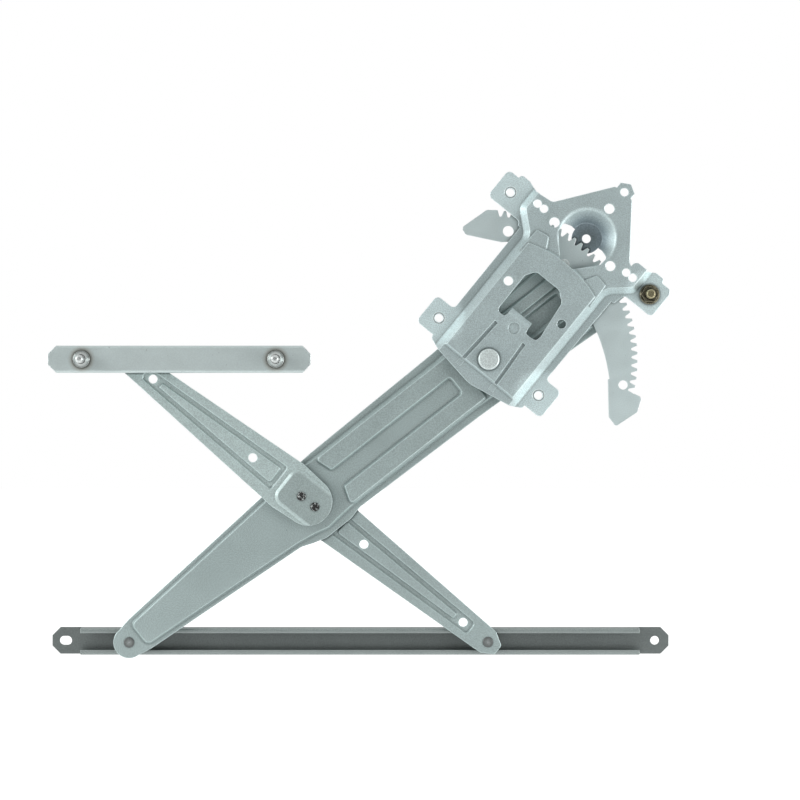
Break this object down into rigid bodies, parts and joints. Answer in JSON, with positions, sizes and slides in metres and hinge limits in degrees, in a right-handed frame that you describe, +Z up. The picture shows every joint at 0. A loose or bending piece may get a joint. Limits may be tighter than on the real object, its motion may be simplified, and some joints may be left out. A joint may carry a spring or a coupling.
{
  "type": "window regulator",
  "caption": "Scissor window regulator: a toothed lift arm and crossed equalizer swing on a pressed base plate to raise a glass rail along a fixed guide rail.",
  "frame": {"origin": "middle of the left ear's hole, on the ears' front faces that seat on the door's inner panel", "axes": "+X along the door and the rails, to the right as seen from the inner panel; +Y away from the inner panel, toward the glass; +Z up"},
  "size_m": [0.5304, 0.057, 0.4145],
  "materials": {
    "arm_zinc": "satin bright zinc",
    "dark_zinc": "dark passivated",
    "plate_zinc": "satin bright zinc",
    "rail_zinc": "satin bright zinc",
    "rivet_zinc": "satin",
    "roller_plastic": "matt",
    "sector_zinc": "smooth bright zinc",
    "stud_zinc": "satin",
    "turned_steel": "turned",
    "yellow_zinc": "yellow passivated"
  },
  "bodies": {
    "base": {"base_plate": "plate_zinc", "pivot_rivet": "rivet_zinc", "pivot_spacer": "turned_steel", "guide_rail": "rail_zinc", "guide_rail_studs": "stud_zinc", "mount_stud": "yellow_zinc", "mount_nut": "dark_zinc"},
    "lift_arm": {"lift_arm": "arm_zinc", "gear_sector": "sector_zinc", "sector_rivets": "rivet_zinc", "lift_pin": "turned_steel"},
    "equalizer": {"equalizer_upper_arm": "arm_zinc", "equalizer_lower_arm": "arm_zinc", "scissor_bush": "turned_steel", "scissor_washer": "turned_steel", "scissor_rivets": "dark_zinc", "upper_pin": "turned_steel", "lower_pin": "turned_steel"},
    "glass_rail": {"glass_rail": "rail_zinc"},
    "upper_roller": {"upper_roller": "roller_plastic"},
    "lower_roller": {"lower_roller": "roller_plastic"},
    "lift_roller": {"lift_roller": "roller_plastic"}
  },
  "joints": [
    {"name": "lift", "type": "hinge", "parent": "base", "child": "lift_arm", "pos_m": [0.0421, 0, -0.03524], "axis": [0, -1, 0], "range_deg": [-10, 27]},
    {"name": "scissor", "type": "hinge", "parent": "lift_arm", "child": "equalizer", "pos_m": [-0.11108, 0, -0.15591], "axis": [0, -1, 0], "range_deg": [-54, 20]},
    {"name": "glass_carry", "type": "hinge", "parent": "equalizer", "child": "glass_rail", "pos_m": [0.0421, 0, -0.27658], "axis": [0, -1, 0], "range_deg": [-10, 27]},
    {"name": "lower_roller_turn", "type": "hinge", "parent": "equalizer", "child": "lower_roller", "pos_m": [0.0421, 0, -0.27658], "axis": [0, -1, 0], "range_deg": [-10, 27]},
    {"name": "upper_roller_turn", "type": "hinge", "parent": "equalizer", "child": "upper_roller", "pos_m": [-0.26426, 0, -0.03524], "axis": [0, -1, 0], "range_deg": [-10, 27]},
    {"name": "lift_roller_turn", "type": "hinge", "parent": "lift_arm", "child": "lift_roller", "pos_m": [-0.26426, 0, -0.27658], "axis": [0, -1, 0], "range_deg": [-27, 10]}
  ],
  "couplings": [
    {"joint": "scissor", "follows": "lift", "ratio": -2},
    {"joint": "glass_carry", "follows": "lift", "ratio": 1},
    {"joint": "lower_roller_turn", "follows": "lift", "ratio": 1},
    {"joint": "upper_roller_turn", "follows": "lift", "ratio": 1},
    {"joint": "lift_roller_turn", "follows": "lift", "ratio": -1}
  ]
}
